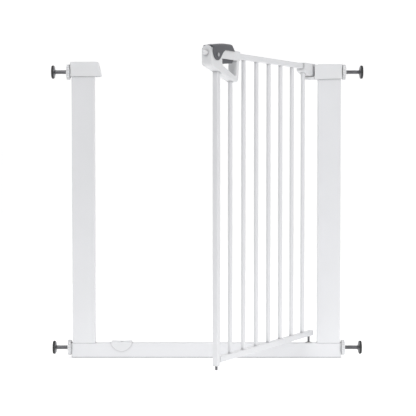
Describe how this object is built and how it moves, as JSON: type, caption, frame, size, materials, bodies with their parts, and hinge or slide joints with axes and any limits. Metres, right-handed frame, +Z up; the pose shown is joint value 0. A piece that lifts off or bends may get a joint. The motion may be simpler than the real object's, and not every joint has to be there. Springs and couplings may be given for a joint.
{
  "type": "safety baby gate",
  "caption": "Pressure-mounted white steel safety gate with a barred swing door, sprung sliding latch in the handle and threaded tension spindles that press on the doorway.",
  "frame": {"origin": "on the floor under the bottom beam, midway between the posts' outer sides and midway through the frame's depth", "axes": "+X along the doorway from the latch post to the hinge post, +Y away from the side the door stands open to, +Z up"},
  "size_m": [0.817, 0.5022, 0.7908],
  "materials": {
    "white_steel": "satin powder coat",
    "white_plastic": "satin moulded",
    "grey_plastic": "fine texture, satin",
    "zinc_steel": "zinc plated",
    "rubber": "matte",
    "nylon": "semi-matt"
  },
  "bodies": {
    "frame": {"left_post": "white_steel", "right_post": "white_steel", "bottom_beam": "white_steel", "post_plug_left": "white_plastic", "post_plug_right": "white_plastic", "beam_plug_left": "white_plastic", "beam_plug_right": "white_plastic", "strike_cap": "white_plastic", "hinge_bracket": "white_plastic", "floor_catch": "white_plastic", "lower_hinge_bush": "nylon", "upper_hinge_pin": "zinc_steel", "frame_screws": "zinc_steel"},
    "spindle_set_top_left": {"spindle_top_left": "zinc_steel", "pad_top_left": "rubber"},
    "wheel_nut_top_left": {"nut_top_left": "white_plastic"},
    "spindle_set_bottom_left": {"spindle_bottom_left": "zinc_steel", "pad_bottom_left": "rubber"},
    "wheel_nut_bottom_left": {"nut_bottom_left": "white_plastic"},
    "spindle_set_top_right": {"spindle_top_right": "zinc_steel", "pad_top_right": "rubber"},
    "wheel_nut_top_right": {"nut_top_right": "white_plastic"},
    "spindle_set_bottom_right": {"spindle_bottom_right": "zinc_steel", "pad_bottom_right": "rubber"},
    "wheel_nut_bottom_right": {"nut_bottom_right": "white_plastic"},
    "swing": {"upper_hinge_bush": "nylon"},
    "door": {"hinge_sleeve": "white_plastic", "sleeve_screw": "zinc_steel", "top_rail": "white_steel", "bottom_rail": "white_steel", "bottom_rail_plug": "white_plastic", "door_stile": "white_steel", "bar_1": "white_steel", "bar_2": "white_steel", "bar_3": "white_steel", "bar_4": "white_steel", "bar_5": "white_steel", "bar_6": "white_steel", "bar_7": "white_steel", "lower_hinge_pin": "zinc_steel", "stile_foot_plug": "white_plastic", "foot_pin": "zinc_steel", "spring_seat": "white_plastic", "handle_shell_front": "white_plastic", "handle_shell_back": "white_plastic", "handle_screws": "zinc_steel"},
    "latch": {"thumb_slider": "grey_plastic", "latch_bolt": "white_plastic", "bolt_spring": "zinc_steel"},
    "trigger": {"finger_trigger": "grey_plastic", "trigger_springs": "zinc_steel"}
  },
  "joints": [
    {"name": "nut_turn_top_left", "type": "hinge", "parent": "frame", "child": "wheel_nut_top_left", "pos_m": [-0.3612, 0, 0.754], "axis": [-1, 0, 0], "range_deg": [0, 5040.1]},
    {"name": "spindle_slide_top_left", "type": "slide", "parent": "frame", "child": "spindle_set_top_left", "axis": [1, 0, 0], "range_m": [0, 0.028]},
    {"name": "nut_turn_bottom_left", "type": "hinge", "parent": "frame", "child": "wheel_nut_bottom_left", "pos_m": [-0.3612, 0, 0.027], "axis": [-1, 0, 0], "range_deg": [0, 5040.1]},
    {"name": "spindle_slide_bottom_left", "type": "slide", "parent": "frame", "child": "spindle_set_bottom_left", "axis": [1, 0, 0], "range_m": [0, 0.028]},
    {"name": "nut_turn_top_right", "type": "hinge", "parent": "frame", "child": "wheel_nut_top_right", "pos_m": [0.3612, 0, 0.754], "axis": [1, 0, 0], "range_deg": [0, 5040.1]},
    {"name": "spindle_slide_top_right", "type": "slide", "parent": "frame", "child": "spindle_set_top_right", "axis": [-1, 0, 0], "range_m": [0, 0.028]},
    {"name": "nut_turn_bottom_right", "type": "hinge", "parent": "frame", "child": "wheel_nut_bottom_right", "pos_m": [0.3612, 0, 0.027], "axis": [1, 0, 0], "range_deg": [0, 5040.1]},
    {"name": "spindle_slide_bottom_right", "type": "slide", "parent": "frame", "child": "spindle_set_bottom_right", "axis": [-1, 0, 0], "range_m": [0, 0.028]},
    {"name": "door_swing", "type": "hinge", "parent": "frame", "child": "swing", "pos_m": [0.2712, 0, 0], "axis": [0, 0, 1], "range_deg": [-60, 30]},
    {"name": "door_lift", "type": "slide", "parent": "swing", "child": "door", "axis": [0, 0, 1], "range_m": [0, 0.008]},
    {"name": "latch_slide", "type": "slide", "parent": "door", "child": "latch", "axis": [0.5, 0.866, 0], "range_m": [0, 0.012], "stiffness_N_per_m": 400, "springref_m": -0.01, "deforming": ["bolt_spring"]},
    {"name": "trigger_lift", "type": "slide", "parent": "door", "child": "trigger", "axis": [0, 0, 1], "range_m": [0, 0.0045], "stiffness_N_per_m": 500, "springref_m": -0.003, "deforming": ["trigger_springs"]}
  ],
  "couplings": [
    {"joint": "nut_turn_top_left", "follows": "spindle_slide_top_left", "rad_per_m": 3141.6},
    {"joint": "nut_turn_bottom_left", "follows": "spindle_slide_bottom_left", "rad_per_m": 3141.6},
    {"joint": "nut_turn_top_right", "follows": "spindle_slide_top_right", "rad_per_m": 3141.6},
    {"joint": "nut_turn_bottom_right", "follows": "spindle_slide_bottom_right", "rad_per_m": 3141.6}
  ]
}
